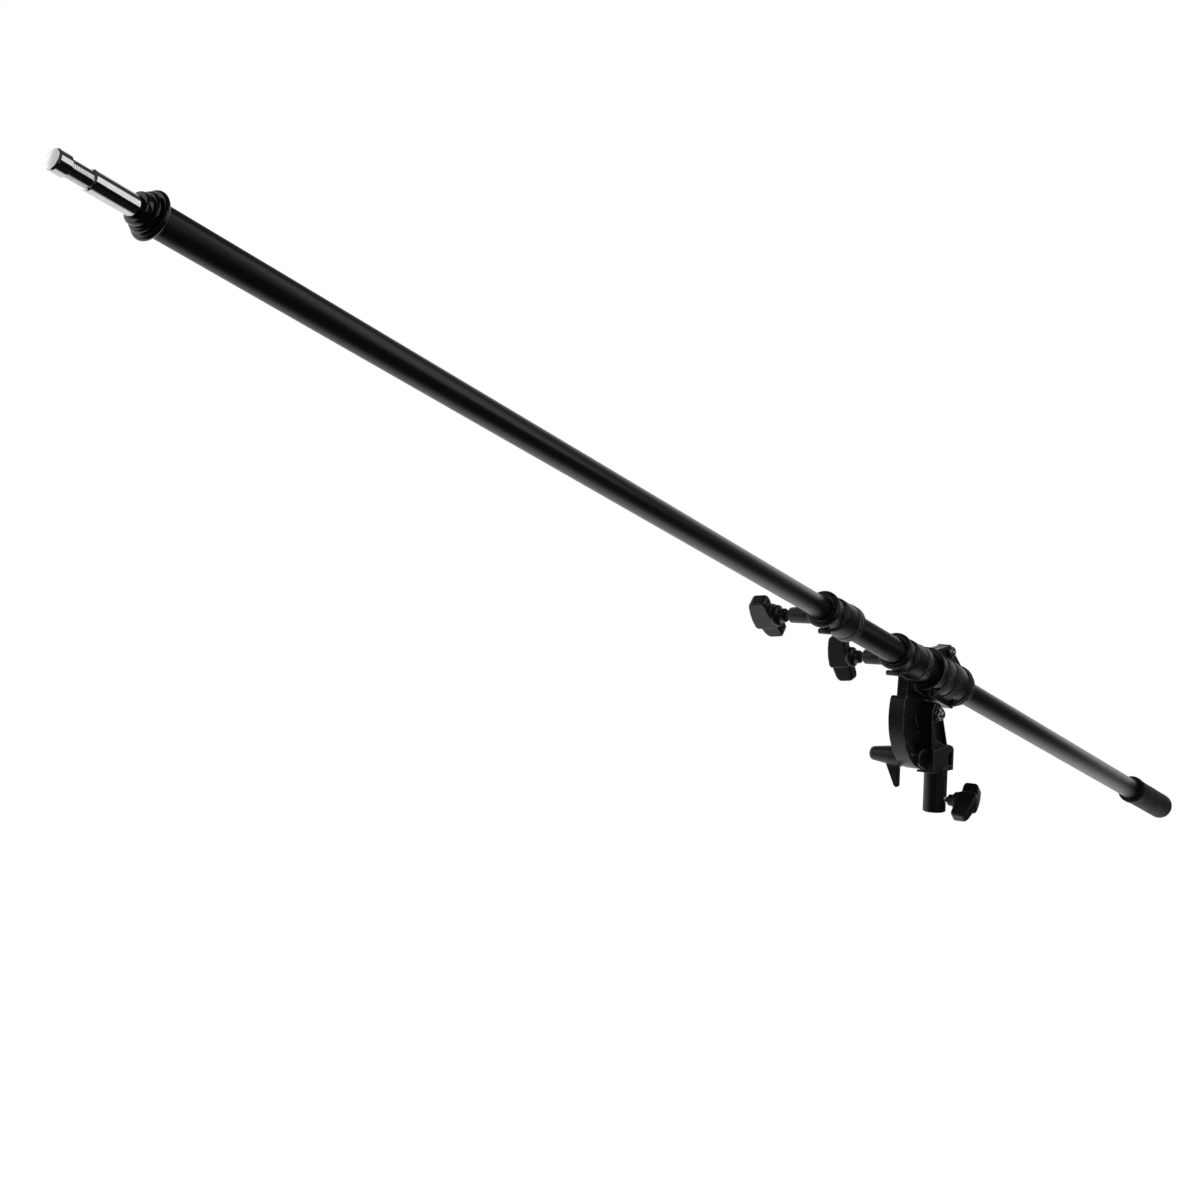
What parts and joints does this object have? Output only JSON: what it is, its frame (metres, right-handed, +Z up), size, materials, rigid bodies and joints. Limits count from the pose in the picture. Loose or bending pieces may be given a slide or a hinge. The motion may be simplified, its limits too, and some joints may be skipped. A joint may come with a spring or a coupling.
{
  "type": "overhead boom arm",
  "caption": "Telescoping boom arm in a tilting swivel head that stands on a stand's pin, with T-knob locks, a tilt lever, a front spigot and a rear grip.",
  "frame": {"origin": "centre of the receiver's open end, where the stand's 16 mm pin goes in", "axes": "+Z up along the receiver's bore, +X the way the boom's spigot points, +Y the side of the receiver's T-knob"},
  "size_m": [2.2592, 0.1544, 0.7475],
  "materials": {
    "cast_black": "black paint on a die casting, satin",
    "tube_black": "satin black, smooth",
    "cap_black": "glossy black, polished",
    "knob_black": "fine moulded texture",
    "rubber_black": "matt",
    "bright_chrome": "polished",
    "zinc": "bright zinc",
    "bush_black": "smooth",
    "brass": "turned",
    "screw_black": "blackened steel, satin"
  },
  "bodies": {
    "base": {"base_casting": "cast_black", "pivot_bolt": "zinc", "pivot_washer": "zinc", "pivot_nut": "zinc", "tilt_stud": "zinc"},
    "receiver_presser": {"receiver_shoe": "brass"},
    "receiver_tee": {"receiver_screw": "zinc", "receiver_knob": "knob_black"},
    "thrust": {"thrust_washer": "zinc"},
    "tilt_handle": {"tilt_lever": "knob_black"},
    "head": {"swivel_body": "cast_black", "clamp_cap": "cast_black", "clamp_top_bolt": "zinc", "clamp_top_nut": "zinc", "clamp_screw_front": "screw_black", "clamp_screw_rear": "screw_black", "sliding_sleeve": "cast_black", "sleeve_ring": "cast_black"},
    "sleeve_presser": {"sleeve_shoe": "brass"},
    "sleeve_tee": {"sleeve_screw": "zinc", "sleeve_knob": "knob_black"},
    "guide_bushes": {"sleeve_bush_front": "bush_black", "sleeve_bush_rear": "bush_black"},
    "fixed_section": {"outer_tube": "tube_black", "tube_collar": "cast_black", "rear_plug": "knob_black", "rear_grip": "rubber_black"},
    "collar_presser": {"collar_shoe": "brass"},
    "collar_tee": {"collar_screw": "zinc", "collar_knob": "knob_black"},
    "mouth_bush": {"collar_bush": "bush_black"},
    "extension": {"inner_tube": "tube_black", "end_cap": "cap_black", "spigot": "bright_chrome", "spigot_pin": "zinc", "inner_rear_bush": "bush_black"}
  },
  "joints": [
    {"name": "head_tilt", "type": "hinge", "parent": "base", "child": "head", "pos_m": [0.0205, 0, 0.127], "axis": [0, -1, 0], "range_deg": [-67, 32]},
    {"name": "section_roll", "type": "hinge", "parent": "head", "child": "guide_bushes", "pos_m": [0.00558, 0, 0.17346], "axis": [0.9521, 0, 0.3057], "continuous": true},
    {"name": "section_slide", "type": "slide", "parent": "guide_bushes", "child": "fixed_section", "axis": [0.9521, 0, 0.3057], "range_m": [-0.12, 0.715]},
    {"name": "extension_roll", "type": "hinge", "parent": "fixed_section", "child": "mouth_bush", "pos_m": [0.30836, 0, 0.27067], "axis": [0.9521, 0, 0.3057], "continuous": true},
    {"name": "extension_slide", "type": "slide", "parent": "mouth_bush", "child": "extension", "axis": [0.9521, 0, 0.3057], "range_m": [-0.97, 0.13]},
    {"name": "sleeve_press", "type": "slide", "parent": "head", "child": "sleeve_presser", "axis": [0.032, -0.9945, -0.0995], "range_m": [0, 0.003]},
    {"name": "sleeve_knob_turn", "type": "hinge", "parent": "sleeve_presser", "child": "sleeve_tee", "pos_m": [0.10811, -0.04973, 0.20089], "axis": [0.032, -0.9945, -0.0995], "range_deg": [0, 721]},
    {"name": "collar_press", "type": "slide", "parent": "fixed_section", "child": "collar_presser", "axis": [0.032, -0.9945, -0.0995], "range_m": [0, 0.003]},
    {"name": "collar_knob_turn", "type": "hinge", "parent": "collar_presser", "child": "collar_tee", "pos_m": [0.29609, -0.04973, 0.26125], "axis": [0.032, -0.9945, -0.0995], "range_deg": [0, 721]},
    {"name": "receiver_press", "type": "slide", "parent": "base", "child": "receiver_presser", "axis": [0, 1, 0], "range_m": [0, 0.003]},
    {"name": "receiver_knob_turn", "type": "hinge", "parent": "receiver_presser", "child": "receiver_tee", "pos_m": [0, 0.0149, 0.017], "axis": [0, 1, 0], "range_deg": [0, 721]},
    {"name": "thrust_press", "type": "slide", "parent": "base", "child": "thrust", "axis": [0, -1, 0], "range_m": [0, 0.0009375]},
    {"name": "tilt_lever_turn", "type": "hinge", "parent": "thrust", "child": "tilt_handle", "pos_m": [0.0405, -0.026, 0.072], "axis": [0, -1, 0], "range_deg": [0, 271]}
  ],
  "couplings": [
    {"joint": "sleeve_knob_turn", "follows": "sleeve_press", "rad_per_m": 4188.8},
    {"joint": "collar_knob_turn", "follows": "collar_press", "rad_per_m": 4188.8},
    {"joint": "receiver_knob_turn", "follows": "receiver_press", "rad_per_m": 4188.8},
    {"joint": "tilt_lever_turn", "follows": "thrust_press", "rad_per_m": 5026.5}
  ]
}
